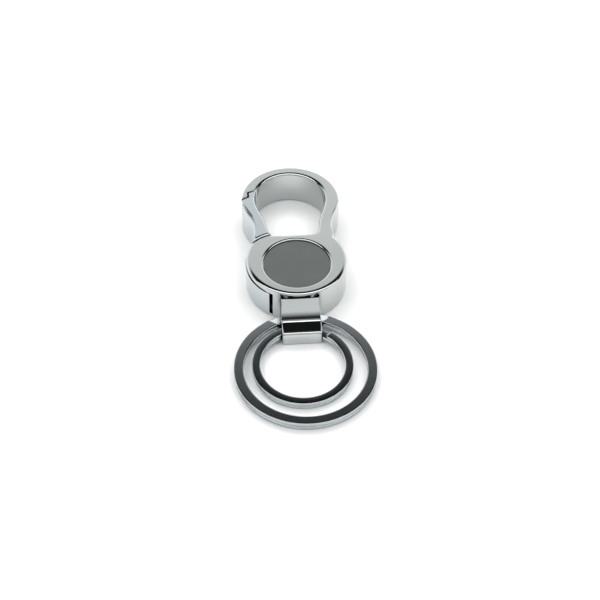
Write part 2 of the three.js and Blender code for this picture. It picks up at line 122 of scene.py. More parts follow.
COVER_THICK = cover_high.z
COVER_GAP = 0.08
COVER_EDGE = 0.15
LIP = 0.95
CHEEK = {"half": 7.0, "front": -11.9, "back": -9.1, "low": COVER_THICK + 0.1, "top": 8.2}
PILLAR = {"r": 1.5, "low": COVER_THICK + 0.02, "top": 8.3, "bore": 0.64, "bore_top": 5.4}
POST_BORE = {"r": 1.53, "low": 5, "top": 8.25, "cover_low": 1.25}
BOSS = {"r": 2.8, "low": 6.95, "top": 8.3}
SCREW_HOLE = {"r": 0.66, "head": 1.2, "head_top": 1.1}
ANCHOR_HOLE = {"out": 6.2, "at": 62, "r": 0.53, "low": 1.15}

SHOULDER_ARC = {"r": 26.25, "from": 121}
TOOTH_ARC = {"r": 27.85, "to": 106, "x": -10.85}
NOSE_GAP = 0.58
STEP_SHARE = 0.8  # of the nose's gap, across its step
RIM = {"x": -3.86, "y": -0.23, "r": 9.39, "from": 146, "to": 96}
RIM_GAP = 0.6
RIM_SIDE_Y = 5.2
GATE_SIDE = {"left": -16, "top": 22, "right": -4.2, "low": 12, "high": 24}

GATE_GAP = 0.15
PANEL = {"r": 13.05, "inner": 11.3, "from": 128, "to": 234.3, "low": LIP + 0.3}
WINDOW = {"r": 20, "inner": CAVITY_Y - 0.1, "from": 96.5, "to": 238.2}
ROOT = {"r": 12.4, "inner": 7.6, "from": 117, "to": 152, "low": COVER_THICK + 0.2}
WEB = {"r": 11.6, "inner": 2.2, "from": 117, "to": 196}
HUB = {"r": 3.5, "low": 4.4, "high": 6.7, "bore": 1.58}
SPRING_HUB = {"r": 2.5, "low": 2.2}
SPRING_PEG = {"out": 6.4, "at": 168, "r": 0.6, "low": 2.35}
HEAD_CLEAR_R = 9.4  # the arm of the gate ends outside this radius
SCALLOP = {"wide": 0.95, "deep": 0.5, "steps": 4, "reach": 1.15, "power": 0.6}

SLOT = {"half": 4.9, "front": -14, "back": -9.0, "cover_back": -10.4}
POCKET = {"front": -12.15, "back": -9.9, "low": 7, "top": 8.43}
STRAP_HALF = 4.72
BARREL_HALF = saddle_high.x
HINGE_Y = (pin_low.y + pin_high.y) / 2
HINGE_Z = (pin_low.z + pin_high.z) / 2
HINGE_R = (pin_high.z - pin_low.z) / 2
HINGE_HALF = pin_high.x
KNUCKLE = {"r": 1.4, "from": 250, "to": 390}
STRAP_TOP = saddle_high.z
STRAP_FRONT = -12.3
STRAP_BACK = -10.1
STRAP_EDGE = 0.15  # rounding of the saddle's sides on the strap
BARREL_EDGE_GROWTH = 0.3  # what is added to it on the barrel
BARREL_EDGE_Y = -17.2  # where it has all been added
BARREL_NOSE = 0.75
BARREL_FOOT = 0.3
BARREL_FRONT = saddle_low.y
CREASE = {"y": -15.85, "z": 3.8, "r": 16.0, "from": 48.7, "to": 40.0}
RIDGE = {"y": -17.25, "z": 4.66}
SHOULDER = {"y": -17.75, "z": 4.34}
BARREL_LOW = 4.0
LOOP_BACK = -12.6
LOOP_FRONT = BARREL_FRONT + 0.75
LOOP_CEILING = 3.42
LOOP_FLOOR = 0.7
LOOP_REAR = {"wall": 0.6, "step": 0.9, "low": 3.9, "top": 4.7, "top_front": -13.35, "foot_front": -14.4}

LARGE = {"x": 0, "y": -30.5, "r": 17.5, "bore": 15.1, "thick": 2.25, "tilt": 1.5, "end": 77, "sweep": 692}
SMALL = {"x": -0.6, "y": -29.3, "r": 12.4, "bore": 10.4, "thick": 2.1, "tilt": 2.6, "end": 53, "sweep": 664}
TURN_GAP = 0.12
RING_GAP = 0.2
WIRE_CORNER = {"across": 0.27, "up": 0.15}
WIRE_END = {"length": 0.7, "across": 0.4, "up": 0.7}  # the last two are shares left at the very end

PIN_GAP = 0.03
HINGE_GAP = 0.08
PIN_END_GAP = 0.05
INSIDE_WALL = 0.3
OVERLAP = 0.2  # of two shapes that are joined
BELOW = -2
ABOVE = THICKNESS + 2
FINE = 0.3  # longest step along a visible outline

# ---------------------------------------------------------------- outlines


def polar(r, degrees, cx=0.0, cy=0.0):
    angle = math.radians(degrees)
    return (cx + r * math.cos(angle), cy + r * math.sin(angle))


def arc(cx, cy, r, start, end, step=FINE):
    """Points along an arc, both ends included, with steps no longer than step."""
    count = max(2, math.ceil(abs(math.radians(end - start)) * r / step))
    return [polar(r, start + (end - start) * i / count, cx, cy) for i in range(count + 1)]


def through(points, count):
    """Points on the uniform Catmull-Rom curve through the given points, both ends included."""
    p = np.array([points[0], *points, points[-1]], float)
    result = []
    for i in range(count + 1):
        at = (len(points) - 1) * i / count
        k = min(int(at), len(points) - 2)
        t = at - k
        a, b, c, d = p[k : k + 4]
        slope_b = (c - a) / 2
        slope_c = (d - b) / 2
        cubic = 2 * b - 2 * c + slope_b + slope_c
        square = -3 * b + 3 * c - 2 * slope_b - slope_c
        result.append(tuple(cubic * t**3 + square * t**2 + slope_b * t + b))
    return result


def inset(outline, distance):
    """The closed counter-clockwise outline moved inward by a distance, corner by corner."""
    points = np.asarray(outline, float)
    ahead = np.roll(points, -1, axis=0) - points
    ahead /= np.linalg.norm(ahead, axis=1)[:, None]
    normal = np.stack([-ahead[:, 1], ahead[:, 0]], axis=1)
    both = normal + np.roll(normal, 1, axis=0)
    return points + both * (2 * distance / (both**2).sum(axis=1))[:, None]


def counter_clockwise(outline):
    points = np.asarray(outline, float)
    after = np.roll(points, -1, axis=0)
    area = (points[:, 0] * after[:, 1] - points[:, 1] * after[:, 0]).sum()
    return points if area > 0 else points[::-1]


# ---------------------------------------------------------------- solids


def add_object(name, vertices, faces):
    mesh = bpy.data.meshes.new(name)
    mesh.from_pydata([tuple(v) for v in vertices], [], faces)
    mesh.update()
    piece = bpy.data.objects.new(name, mesh)
    bpy.context.scene.collection.objects.link(piece)
    return piece


def loft(name, rings):
    """A closed solid through rings with the same number of points, closed by a face at each end."""
    count = len(rings[0])
    faces = []
    for k in range(len(rings) - 1):
        here = k * count
        there = here + count
        for i in range(count):
            j = (i + 1) % count
            faces.append((here + i, here + j, there + j, there + i))
    last = (len(rings) - 1) * count
    faces.append(tuple(reversed(range(count))))
    faces.append(tuple(range(last, last + count)))
    return add_object(name, [p for ring in rings for p in ring], faces)


def at_height(outline, z):
    return [(x, y, z) for x, y in outline]


ROUND_STEPS = 5
TOP_STEPS = 10
BROAD = 1.4  # the rounded edges on top reach this much further across than down


def quarter_turn(steps):
    """Angles over a quarter turn, both ends included."""
    return [math.pi / 2 * i / steps for i in range(steps + 1)]


def top_edge(outline, edge, z1, way):
    """Rings up a rounded edge to the height z1, going inward (way > 0) or outward (way < 0)."""
    rings = []
    for angle in quarter_turn(TOP_STEPS)[1:]:
        side = inset(outline, way * edge * (1 - math.cos(angle)))
        rings.append(at_height(side, z1 - edge * (1 - math.sin(angle))))
    return rings


def bottom_edge(outline, edge, z0, way):
    """Rings up a rounded edge from the height z0, starting inside (way > 0) or outside (way < 0)."""
    rings = []
    for angle in quarter_turn(ROUND_STEPS)[:-1]:
        side = inset(outline, way * edge * (1 - math.sin(angle)))
        rings.append(at_height(side, z0 + edge * (1 - math.cos(angle))))
    return rings


def prism(outline, z0, z1, low=0.0, high=0.0, name="prism"):
    """An outline extruded along Z. low and high are the heights of the rounded edges at its ends."""
    outline = counter_clockwise(outline)
    rings = []
    if low > 0:
        rings += bottom_edge(outline, low, z0, 1)
    rings.append(at_height(outline, z0 + low))
    rings.append(at_height(outline, z1 - high))
    if high > 0:
        rings += top_edge(outline, high, z1, BROAD)
    return loft(name, rings)


def flared(outline, z0, z1, low=0.0, high=0.0, broad=BROAD):
    """A cutting tool through z0 to z1 that leaves rounded edges of the given heights there."""
    outline = counter_clockwise(outline)
    rings = []
    if low > 0:
        rings.append(at_height(inset(outline, -low), z0 - 1))
        rings += bottom_edge(outline, low, z0, -1)
        rings.append(at_height(outline, z0 + low))
    else:
        rings.append(at_height(outline, z0))
    rings.append(at_height(outline, z1 - high))
    if high > 0:
        rings += top_edge(outline, high, z1, -broad)
        rings.append(at_height(inset(outline, -broad * high), z1 + 1))
    return loft("tool", rings)


def turned(profile, x=0.0, y=0.0, step=FINE, name="turned"):
    """A profile of (radius, z) points, from the bottom up, turned about a vertical axis at (x, y)."""
    widest = max(r for r, _ in profile)
    count = max(24, 4 * math.ceil(math.tau * widest / step / 4))
    rings = []
    for r, z in profile:
        rings.append([(*polar(max(r, 1e-4), 360 * i / count, x, y), z) for i in range(count)])
    return loft(name, rings)


def disc(x, y, r, z0, z1, step=FINE):
    return turned([(r, z0), (r, z1)], x, y, step)


def sector(shape, z0, z1):
    """Part of a tube about the head's axis, between two radii and two angles."""
    inner = arc(0, 0, shape["inner"], shape["from"], shape["to"])
    outer = arc(0, 0, shape["r"], shape["to"], shape["from"])
    return prism(inner + outer, z0, z1)


def box(low, high):
    (x0, y0, z0), (x1, y1, z1) = low, high
    return prism([(x0, y0), (x1, y0), (x1, y1), (x0, y1)], z0, z1)


def turn_upright(piece):
    """Turns a prism drawn as (y, z) and extruded along Z so that it is extruded along X."""
    piece.data.transform(Matrix(((0, 0, 1, 0), (1, 0, 0, 0), (0, 1, 0, 0), (0, 0, 0, 1))))
    return piece


def rod(x0, x1, y, z, r):
    return turn_upright(disc(y, z, r, x0, x1))


def boolean(body, operation, tools):
    """body with every tool joined, cut or intersected, as one new mesh. The tools are used up."""
    for tool in tools:
        modifier = body.modifiers.new("tool", "BOOLEAN")
        modifier.operation = operation
        modifier.solver = "MANIFOLD"
        modifier.object = tool
    graph = bpy.context.evaluated_depsgraph_get()
    result = bpy.data.meshes.new_from_object(body.evaluated_get(graph))
    body.modifiers.clear()
    body.data = result
    for tool in tools:
        bpy.data.objects.remove(tool)
    return body


def join(body, *tools):
    return boolean(body, "UNION", tools)


def cut(body, *tools):
    return boolean(body, "DIFFERENCE", tools)


def keep(body, *tools):
    return boolean(body, "INTERSECT", tools)


SMOOTH_ANGLE = math.radians(32)


def finish_piece(piece, name, body, material, slot, *nodes, flat_faces=True):
    """Cleans a solid, scales it into the frame, and gives it smooth normals, a finish and a body."""
    piece.name = name
    piece.data.name = name
    mesh = bmesh.new()
    mesh.from_mesh(piece.data)
    bmesh.ops.remove_doubles(mesh, verts=mesh.verts, dist=0.0005)
    if flat_faces:
        bmesh.ops.dissolve_limit(
            mesh, angle_limit=math.radians(0.05), verts=mesh.verts, edges=mesh.edges, delimit={"NORMAL"}
        )
    mesh.to_mesh(piece.data)
    mesh.free()
    piece.data.transform(TO_ROW)
    piece.data.shade_smooth()
    piece.data.set_sharp_from_angle(angle=SMOOTH_ANGLE)
    weighted = piece.modifiers.new("weighted_normals", "WEIGHTED_NORMAL")
    weighted.mode = "FACE_AREA"
    weighted.weight = 100
    weighted.keep_sharp = True
    piece.data.materials.clear()
    piece.data.materials.append(material)
    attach(piece, body)
    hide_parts(*nodes)
    return piece


# ---------------------------------------------------------------- materials


class Nodes:
    """A new material with a Principled shader, and short calls that add nodes to it."""

    def __init__(self, name):
        self.material = bpy.data.materials.new(name)
        self.material.use_nodes = True
        self.tree = self.material.node_tree
        self.shader = self.tree.nodes["Principled BSDF"]
        self.place = self.tree.nodes.new("ShaderNodeTexCoord").outputs["Object"]

    def add(self, kind, **inputs):
        node = self.tree.nodes.new(kind)
        for name, value in inputs.items():
            self.set(node, name, value)
        return node

    def set(self, node, name, value):
        socket = node.inputs[name.replace("_", " ")]
        if isinstance(value, bpy.types.NodeSocket):
            self.tree.links.new(value, socket)
        else:
            socket.default_value = value

    def noise(self, scale, detail=3.0, roughness=0.5, stretch=(1, 1, 1)):
        """Noise with a scale in cycles per metre, stretched along the axes."""
        mapping = self.add("ShaderNodeMapping", Vector=self.place, Scale=stretch)
        node = self.add(
            "ShaderNodeTexNoise", Vector=mapping.outputs[0], Scale=scale, Detail=detail, Roughness=roughness
        )
        return node.outputs["Fac"]

    def ramp(self, factor, *stops):
        """A colour ramp through (position, colour) stops."""
        node = self.add("ShaderNodeValToRGB", Fac=factor)
        elements = node.color_ramp.elements
        while len(elements) < len(stops):
            elements.new(0.5)
        for element, (position, colour) in zip(elements, stops):
            element.position = position
            element.color = (*colour, 1)
        return node.outputs["Color"]

    def spread(self, value, low, high, start=0.0, end=1.0):
        """Maps start to end onto low to high."""
        node = self.tree.nodes.new("ShaderNodeMapRange")
        self.set(node, "Value", value)
        for name, number in (("From Min", start), ("From Max", end), ("To Min", low), ("To Max", high)):
            node.inputs[name].default_value = number
        return node.outputs["Result"]

    def bump(self, height, depth, strength=1.0, below=None):
        """A bump of height times depth, in metres, on top of another bump."""
        node = self.add("ShaderNodeBump", Height=height, Distance=depth, Strength=strength)
        if below is not None:
            self.set(node, "Normal", below)
        return node.outputs["Normal"]

    def finish(self, **inputs):
        for name, value in inputs.items():
            self.set(self.shader, name, value)
        return self.material


def chrome(name, dark, light, rough_low, rough_high):
    """Plated metal: faint unevenness of the polish, micro-scratches and a slight tone variation."""
    nodes = Nodes(name)
    broad = nodes.noise(90, detail=2)
    scratches = nodes.noise(2500, detail=4, roughness=0.7, stretch=(1, 0.12, 1))
    colour = nodes.ramp(broad, (0.3, dark), (0.7, light))
    rough = nodes.spread(nodes.noise(700, detail=5, roughness=0.65), rough_low, rough_high, 0.3, 0.7)
    waves = nodes.bump(nodes.noise(260, detail=1), 6e-6, strength=0.12)
    normal = nodes.bump(scratches, 1.0e-6, strength=0.1, below=waves)
    return nodes.finish(Base_Color=colour, Metallic=1.0, Roughness=rough, Normal=normal)


def enamel(name, dark, light, rough_low, rough_high, metallic):
    """A dull coat with a fine even grain."""
    nodes = Nodes(name)
    grain = nodes.noise(5200, detail=3, roughness=0.6)
    colour = nodes.ramp(nodes.noise(140, detail=3), (0.3, dark), (0.7, light))
    rough = nodes.spread(grain, rough_low, rough_high, 0.3, 0.7)
    normal = nodes.bump(grain, 2.0e-6, strength=0.25)
    return nodes.finish(Base_Color=colour, Metallic=metallic, Roughness=rough, Normal=normal)


SATIN_CHROME = chrome("satin_chrome", (0.52, 0.54, 0.535), (0.55, 0.575, 0.57), 0.07, 0.12)
SADDLE_CHROME = chrome("saddle_chrome", (0.53, 0.55, 0.55), (0.55, 0.575, 0.575), 0.04, 0.07)
RING_CHROME = chrome("ring_chrome", (0.48, 0.515, 0.53), (0.52, 0.555, 0.57), 0.05, 0.09)
GATE_CHROME = chrome("gate_chrome", (0.52, 0.565, 0.58), (0.55, 0.60, 0.615), 0.08, 0.12)
INLAY = enamel("inlay", (0.094, 0.105, 0.100), (0.105, 0.116, 0.110), 0.4, 0.5, 0.3)
ADHESIVE = enamel("adhesive", (0.72, 0.70, 0.64), (0.80, 0.78, 0.72), 0.85, 0.95, 0.0)
PIN_STEEL = chrome("pin_steel", (0.46, 0.46, 0.45), (0.56, 0.56, 0.55), 0.25, 0.4)
SPRING_STEEL = chrome("spring_steel", (0.38, 0.37, 0.35), (0.50, 0.49, 0.47), 0.2, 0.35)
BRASS = chrome("washer_brass", (0.62, 0.44, 0.18), (0.74, 0.55, 0.26), 0.25, 0.4)

CAD_FINISH = {
    "satin_chrome": SATIN_CHROME,
    "ring_chrome": RING_CHROME,
    "inlay": INLAY,
    "adhesive": ADHESIVE,
    "pin_steel": PIN_STEEL,
    "spring_steel": SPRING_STEEL,
    "washer_brass": BRASS,
}

# Every other node is a pin or a screw of plain steel.
SLOT_OF_NODE = {
    "gate_spring": "spring_steel",
    "gate_washer_upper": "washer_brass",
    "gate_washer_lower": "washer_brass",
    "front_inlay_pad": "adhesive",
    "back_inlay_pad": "adhesive",
    "front_inlay": "inlay",
    "back_inlay": "inlay",
    "large_split_ring": "ring_chrome",
    "small_split_ring": "ring_chrome",
    "hook_frame": "satin_chrome",
    "back_cover": "satin_chrome",
    "gate_lever": "satin_chrome",
    "ring_saddle": "satin_chrome",
}


def finish_cad_nodes():
    """Gives every carried-over CAD node its finish and smooth shading."""
    for name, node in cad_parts.items():
        node.data.materials.clear()
        node.data.materials.append(CAD_FINISH[SLOT_OF_NODE.get(name, "pin_steel")])
        node.data.shade_smooth()
        node.data.set_sharp_from_angle(angle=SMOOTH_ANGLE)


# ---------------------------------------------------------------- outlines of head and hook


def mirrored(points, side):
    return [(side * x, y) for x, y in points]


ARM_OUTER = [(12.87, 21.2), (12.05, 18.6), (10.95, 16.0), (10.25, 13.6), (10.15, 11.2), (10.5, 8.9)]
ARM_INNER = [(9.3, 21.8), (8.6, 19.0), (7.6, 16.2), (6.95, 13.2), (6.55, 10.7)]


OUTER_SIDE = through(ARM_OUTER, 44)
INNER_SIDE = through(ARM_INNER, 40)
INSIDE_HEAD = (9.6, 6.5)


def arm_outer(side):
    """Outer side of an arm, from the arch down to the neck and on into the head."""
    return mirrored(OUTER_SIDE + [INSIDE_HEAD], side)


def arm_inner(side):
    """Inner side of an arm, from the bore down to the floor of the opening."""
    return mirrored(INNER_SIDE, side)


HOOK_OUTLINE = arc(0, HOOK_Y, HOOK_R, -6, 186) + arm_outer(-1) + arm_outer(1)[::-1]
OPENING_OUTLINE = (
    arc(0, BORE_Y, BORE_R, -9, 189)
    + arm_inner(-1)
    + [(FLOOR_LEFT, FLOOR_Y)]
    + arc(FLOOR_FILLET["x"], FLOOR_Y + FLOOR_FILLET["r"], FLOOR_FILLET["r"], 270, 348)
    + arm_inner(1)[::-1]
)


def round_profile(r, foot, head, z0, z1, broad, steps):
    """Side of a turned body from z0 up to z1, with rounded edges of the heights foot and head."""
    profile = [(0, z0)]
    for angle in quarter_turn(ROUND_STEPS):
        profile.append((r - foot + foot * math.sin(angle), z0 + foot - foot * math.cos(angle)))
    for angle in quarter_turn(steps):
        profile.append((r - broad * head * (1 - math.cos(angle)), z1 - head + head * math.sin(angle)))
    return profile + [(0, z1)]


def make_blank():
    """Head and hook as one body, before the gate is parted from it."""
    blank = turned(round_profile(HEAD_R, FOOT_EDGE, HEAD_EDGE, 0, THICKNESS, BROAD, 2 * TOP_STEPS))
    join(blank, prism(HOOK_OUTLINE, 0, THICKNESS, low=HOOK_EDGE, high=HOOK_EDGE))
    return cut(blank, flared(OPENING_OUTLINE, 0, THICKNESS, low=BORE_EDGE, high=BORE_EDGE))


# ---------------------------------------------------------------- the line between frame and gate


def rim_arc(grow):
    """The arc at the gate's foot, moved outward from the head."""
    return arc(RIM["x"], RIM["y"], RIM["r"] + grow, RIM["from"], RIM["to"])


def nose_joint(gap):
    """The lap joint at the nose, from the outside inward, held off by a gap."""
    shoulder = SHOULDER_ARC["r"] + gap
    tooth = TOOTH_ARC["r"] + gap
    step = TOOTH_ARC["x"] - gap * STEP_SHARE
    shoulder_end = 90 + math.degrees(math.asin(-step / shoulder))
    tooth_start = 90 + math.degrees(math.asin(-step / tooth))
    outer = arc(0, 0, shoulder, SHOULDER_ARC["from"], shoulder_end)
    return outer + arc(0, 0, tooth, tooth_start, TOOTH_ARC["to"])


def arm_zone(rim_gap, nose_gap):
    """Plan of the arm's space: the frame is cut to it, and the gate's arm fills it less its gaps."""
    left, right = GATE_SIDE["left"], GATE_SIDE["right"]
    return (
        [(left, RIM_SIDE_Y + rim_gap)]
        + rim_arc(rim_gap)
        + [(right, GATE_SIDE["low"]), (right, GATE_SIDE["high"])]
        + nose_joint(nose_gap)[::-1]
        + [(left, GATE_SIDE["top"])]
    )


# ---------------------------------------------------------------- hook frame


def cavity_outline(shrink):
    """The cavity's plan: round, with a straight side under the hook's opening."""
    r = CAVITY_R - shrink
    corner = math.degrees(math.asin((CAVITY_Y - shrink) / r))
    return arc(0, 0, r, 180 - corner, 360 + corner)


def screw_places():
    """Centre of each cover screw, read from its CAD node."""
    names = [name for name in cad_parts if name.startswith("cover_screw")]
    boxes = [design_box(name) for name in sorted(names)]
    return [((low.x + high.x) / 2, (low.y + high.y) / 2) for low, high in boxes]


def make_hook_frame():
    """The casting: head, right arm, arch and nose, hollowed, with the places for what it holds."""
    body = make_blank()
    recess_floor = THICKNESS - RECESS_DEPTH
    circle = arc(0, INLAY_Y, INLAY_R + RECESS_GAP, 0, 360)[:-1]
    cut(
        body,
        prism(cavity_outline(0), BELOW, CAVITY_TOP),
        flared(circle, recess_floor, THICKNESS, high=RECESS_EDGE),
    )
    cheeks = keep(
        box((-CHEEK["half"], CHEEK["front"], CHEEK["low"]), (CHEEK["half"], CHEEK["back"], CHEEK["top"])),
        disc(0, 0, HEAD_R - INSIDE_WALL, 0, THICKNESS),
    )
    boss = disc(0, 0, BOSS["r"], BOSS["low"], BOSS["top"])
    pillars = [disc(x, y, PILLAR["r"], PILLAR["low"], PILLAR["top"]) for x, y in screw_places()]
    join(body, cheeks, boss, *pillars)
    hinge_half = HINGE_HALF + PIN_END_GAP
    cut(
        body,
        flared(arm_zone(0, NOSE_GAP), 0, THICKNESS, low=JOINT_EDGE, high=JOINT_EDGE, broad=1),
        sector(WINDOW, LIP, CAVITY_TOP),
        box((-SLOT["half"], SLOT["front"], BELOW), (SLOT["half"], SLOT["back"], CAVITY_TOP)),
        box((-SLOT["half"], POCKET["front"], POCKET["low"]), (SLOT["half"], POCKET["back"], POCKET["top"])),
        rod(-hinge_half, hinge_half, HINGE_Y, HINGE_Z, HINGE_R + PIN_GAP),
        disc(0, 0, POST_BORE["r"], POST_BORE["low"], POST_BORE["top"]),
        *[disc(x, y, PILLAR["bore"], BELOW, PILLAR["bore_top"]) for x, y in screw_places()],
    )
    return finish_piece(body, "hook_frame_shell", "head", SATIN_CHROME, "satin_chrome", "hook_frame")


# ---------------------------------------------------------------- gate lever


def thumb_scallop():
    """A cutting tool for the slanted edge where a thumb pushes the gate, widest near its middle."""
    side = mirrored(OUTER_SIDE, -1)
    top = max(y for _, y in side)
    bottom = min(y for _, y in side)
    rings = []
    for i in range(SCALLOP["steps"] + 1):
        part = i / SCALLOP["steps"]
        plan = []
        for x, y in side:
            along = min(1.0, (top - y) / (top - bottom) * SCALLOP["reach"])
            swell = max(0.0, math.sin(math.pi * along ** SCALLOP["power"])) ** SCALLOP["power"]
            plan.append((x - 0.01 + SCALLOP["wide"] * swell * part, y))
        plan += [(GATE_SIDE["left"], bottom), (GATE_SIDE["left"], top)]
        rings.append(at_height(plan, THICKNESS - SCALLOP["deep"] * (1 - part)))
    rings.append(at_height(plan, THICKNESS + 1))
    return loft("tool", rings)


def make_gate():
    """The left arm of the hook, and the panel, web and hub by which it turns in the head."""
    body = make_blank()
    keep(body, prism(arm_zone(RIM_GAP, 0), gate_low.z, THICKNESS + 1))
    cut(body, thumb_scallop())
    foot_circle = arc(RIM["x"], RIM["y"], RIM["r"] + RIM_GAP, 0, 360)[:-1]
    foot = flared(foot_circle, BELOW, THICKNESS, high=RIM_EDGE)
    cut(body, disc(0, 0, HEAD_CLEAR_R, BELOW, ABOVE), foot)
    top = CAVITY_TOP - GATE_GAP
    into_web = HUB["low"] + OVERLAP
    panel = sector(PANEL, PANEL["low"], top)
    root = keep(sector(ROOT, ROOT["low"], top), make_blank())
    web = sector(WEB, HUB["low"], HUB["high"])
    hub = disc(0, 0, HUB["r"], HUB["low"], HUB["high"])
    spring_hub = disc(0, 0, SPRING_HUB["r"], SPRING_HUB["low"], into_web)
    peg = disc(*polar(SPRING_PEG["out"], SPRING_PEG["at"]), SPRING_PEG["r"], SPRING_PEG["low"], into_web)
    join(body, panel, root, web, hub, spring_hub, peg)
    cut(body, disc(0, 0, HUB["bore"], 0, THICKNESS))
    return finish_piece(body, "gate_lever_shell", "gate", GATE_CHROME, "satin_chrome", "gate_lever")


# ---------------------------------------------------------------- back cover and inlays


def make_back_cover():
    """The plate under the head, with the holes for the post, the spring's pin and the screws."""
    body = prism(cavity_outline(COVER_GAP), 0, COVER_THICK, low=COVER_EDGE)
    circle = arc(0, BACK_INLAY_Y, BACK_INLAY_R + RECESS_GAP, 0, 360)[:-1]
    anchor = polar(ANCHOR_HOLE["out"], ANCHOR_HOLE["at"])
    through_cover = COVER_THICK + 1
    cut(
        body,
        flared(circle, 0, BACK_RECESS_DEPTH, low=BACK_RECESS_EDGE),
        disc(0, 0, POST_BORE["r"], POST_BORE["cover_low"], through_cover),
        box((-SLOT["half"], SLOT["front"], BELOW), (SLOT["half"], SLOT["cover_back"], through_cover)),
        disc(*anchor, ANCHOR_HOLE["r"], ANCHOR_HOLE["low"], through_cover),
        *[disc(x, y, SCREW_HOLE["head"], 0, SCREW_HOLE["head_top"]) for x, y in screw_places()],
        *[disc(x, y, SCREW_HOLE["r"], 0, through_cover) for x, y in screw_places()],
    )
    return finish_piece(body, "back_cover_shell", "head", SATIN_CHROME, "satin_chrome", "back_cover")


def make_inlay(node, low, high, y, r, low_edge, high_edge):
    """A round inlay from low to high, with its centre on the middle line at y."""
    piece = turned(round_profile(r, low_edge, high_edge, low, high, 1, ROUND_STEPS), 0, y)
    return finish_piece(piece, node + "_disc", "head", INLAY, "inlay", node)


# ---------------------------------------------------------------- saddle


def saddle_outline():
    """Side view of the saddle, (y, z), from the strap's top edge round the outside."""
    foot = math.radians(CREASE["to"])
    fillet_y = CREASE["y"] - CREASE["r"] * math.sin(foot)
    fillet_z = CREASE["z"] + CREASE["r"] * math.cos(foot)
    rear = LOOP_BACK + LOOP_REAR["wall"]
    ridge = (RIDGE["y"], RIDGE["z"])
    ridge_start = (RIDGE["y"] + 0.08, RIDGE["z"] - 0.03)
    nose = (BARREL_FRONT + BARREL_NOSE, BARREL_LOW - BARREL_NOSE, BARREL_NOSE)
    return (
        [(STRAP_FRONT, STRAP_TOP), (STRAP_FRONT - 0.12, STRAP_TOP - 0.06)]
        + arc(fillet_y, fillet_z, CREASE["r"], CREASE["from"] - 90, CREASE["to"] - 90, 0.1)
        + [ridge_start, ridge, (SHOULDER["y"], SHOULDER["z"])]
        + arc(*nose, 84, 180, 0.1)
        + arc(BARREL_FRONT + BARREL_FOOT, BARREL_FOOT, BARREL_FOOT, 180, 270, 0.08)
        + arc(rear, BARREL_FOOT, BARREL_FOOT, 270, 360, 0.08)
        + [(LOOP_BACK + LOOP_REAR["step"], LOOP_REAR["low"])]
        + arc(HINGE_Y, HINGE_Z, KNUCKLE["r"], KNUCKLE["from"], KNUCKLE["to"], 0.15)
        + [(STRAP_BACK, STRAP_TOP)]
    )


LOOP_OUTLINE = [
    (LOOP_FRONT, LOOP_FLOOR),
    (LOOP_BACK, LOOP_FLOOR),
    (LOOP_BACK, LOOP_REAR["top"]),
    (LOOP_REAR["top_front"], LOOP_REAR["top"]),
    (LOOP_REAR["foot_front"], LOOP_CEILING),
    (LOOP_FRONT, LOOP_CEILING),
]


def smoothstep(value, low, high):
    t = np.clip((value - low) / (high - low), 0, 1)
    return t * t * (3 - 2 * t)


def widen(piece):
    """Widens the strap on its way to the barrel."""
    points = np.zeros(3 * len(piece.data.vertices))
    piece.data.vertices.foreach_get("co", points)
    points = points.reshape(-1, 3)
    along = smoothstep(-points[:, 1], HEAD_R, -CREASE["y"])
    points[:, 0] *= 1 + (BARREL_HALF / STRAP_HALF - 1) * along
    piece.data.vertices.foreach_set("co", points.reshape(-1))
    return piece


def side_edges(outline):
    """Radius of the saddle's rounded side edges: fine on the strap, wider on the barrel."""
    y = outline[:, 0]
    return STRAP_EDGE + BARREL_EDGE_GROWTH * smoothstep(-y, -CREASE["y"] - 0.3, -BARREL_EDGE_Y)


CROSS_STEPS = 24
CROSS_MARGIN = 0.5  # beyond the side edges


def crosswise(outline, half):
    """A side view (y, z) extruded along X from -half to half, with rounded edges at its ends."""
    outline = counter_clockwise(outline)
    edge = side_edges(outline)
    left = []
    for angle in quarter_turn(ROUND_STEPS):
        side_view = inset(outline, edge * (1 - math.sin(angle)))
        left.append(np.column_stack([side_view, -half + edge * (1 - math.cos(angle))]))
    middle = []
    for x in np.linspace(-half + CROSS_MARGIN, half - CROSS_MARGIN, CROSS_STEPS):
        middle.append(np.column_stack([outline, np.full(len(outline), x)]))
    right = [ring * (1, 1, -1) for ring in reversed(left)]
    return turn_upright(loft("crosswise", left + middle + right))


def ring_matrix(ring):
    """Where a ring lies: its middle, raised and tilted so that its front edge touches the floor."""
    tilt = math.radians(ring["tilt"])
    place = Matrix.Translation((ring["x"], ring["y"], ring["r"] * math.sin(tilt)))
    return place @ Matrix.Rotation(tilt, 4, "X")


def ring_space(ring):
    """The space that a ring sweeps in the saddle, grown by a gap."""
    inner = ring["bore"] - RING_GAP
    outer = ring["r"] + RING_GAP
    high = ring["thick"] + RING_GAP
    space = cut(disc(0, 0, outer, -RING_GAP, high), disc(0, 0, inner, -1, high + 1))
    space.data.transform(ring_matrix(ring))
    return space


def make_saddle():
    """The strap and the barrel, bored for the hinge pin and hollowed where the rings run."""
    body = widen(crosswise(saddle_outline(), STRAP_HALF))
    loop = turn_upright(prism(LOOP_OUTLINE, -BARREL_HALF - 1, BARREL_HALF + 1))
    bore = rod(-BARREL_HALF - 1, BARREL_HALF + 1, HINGE_Y, HINGE_Z, HINGE_R + HINGE_GAP)
    cut(body, loop, bore, ring_space(LARGE), ring_space(SMALL))
    return finish_piece(body, "ring_saddle_shell", "saddle", SADDLE_CHROME, "satin_chrome", "ring_saddle")


# ---------------------------------------------------------------- split rings


CORNER_STEPS = 8
TIP_STEPS = 6
TURN_STEPS = 460


